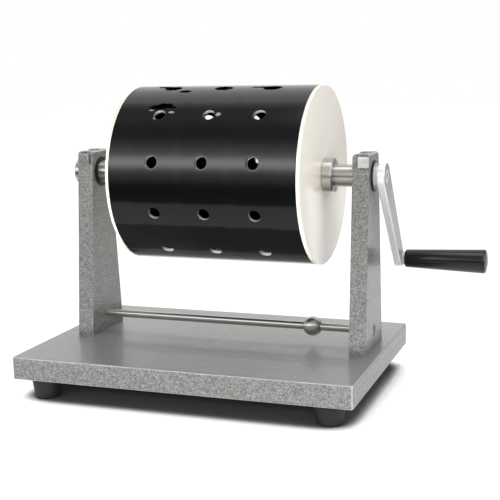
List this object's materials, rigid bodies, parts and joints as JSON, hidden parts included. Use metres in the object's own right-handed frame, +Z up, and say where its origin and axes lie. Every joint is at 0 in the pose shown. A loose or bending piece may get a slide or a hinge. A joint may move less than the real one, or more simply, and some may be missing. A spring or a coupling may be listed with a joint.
{
  "type": "kymograph",
  "caption": "Hand-cranked kymograph: a black perforated drum with ivory end discs on a steel shaft between two grey uprights on a rubber-footed base, with a ball on a guide rod.",
  "frame": {"origin": "under the middle of the whole object, on the table", "axes": "+X along the drum towards the crank, +Y from the front edge to the back edge, +Z up"},
  "size_m": [0.3746, 0.205, 0.261],
  "materials": {
    "hammertone_paint": "grey hammertone enamel, satin",
    "black_drum": "black satin-gloss enamel",
    "ivory_plastic": "glossy ivory",
    "polished_steel": "polished",
    "zinc_steel": "satin",
    "crank_aluminium": "brushed",
    "black_rubber": "matte",
    "black_acetal": "satin",
    "black_grip": "glossy"
  },
  "bodies": {
    "stand": {"base_plate": "hammertone_paint", "left_upright": "hammertone_paint", "right_upright": "hammertone_paint", "upright_screws": "zinc_steel", "front_left_foot": "black_rubber", "front_right_foot": "black_rubber", "back_left_foot": "black_rubber", "back_right_foot": "black_rubber", "foot_screws": "zinc_steel", "foot_washers": "zinc_steel", "left_bush": "black_acetal", "right_bush": "black_acetal", "left_keeper_bolt": "hammertone_paint", "right_keeper_bolt": "zinc_steel", "left_oil_screw": "hammertone_paint", "right_oil_screw": "hammertone_paint", "guide_rod": "polished_steel", "rod_end_screws": "hammertone_paint"},
    "drum": {"drum_shell": "black_drum", "left_end_disc": "ivory_plastic", "right_end_disc": "ivory_plastic", "drum_shaft": "polished_steel", "left_hub_collar": "polished_steel", "right_hub_collar": "polished_steel", "left_inner_collar": "polished_steel", "right_inner_collar": "polished_steel", "collar_grub_screws": "zinc_steel", "stop_collar": "polished_steel", "thrust_washer": "zinc_steel", "crank_arm": "crank_aluminium", "crank_screw": "zinc_steel", "handle_spindle": "polished_steel", "handle_ferrule": "zinc_steel"},
    "grip": {"handle_grip": "black_grip", "grip_cap": "black_grip"},
    "ball": {"rod_ball": "polished_steel"}
  },
  "joints": [
    {"name": "drum_spin", "type": "hinge", "parent": "stand", "child": "drum", "pos_m": [0.1007, 0.0105, 0.185], "axis": [1, 0, 0], "continuous": true},
    {"name": "grip_spin", "type": "hinge", "parent": "drum", "child": "grip", "pos_m": [0.1495, 0.07595, 0.10418], "axis": [1, 0, 0], "continuous": true},
    {"name": "ball_slide", "type": "slide", "parent": "stand", "child": "ball", "axis": [1, 0, 0], "range_m": [-0.1902, 0.0312]}
  ]
}
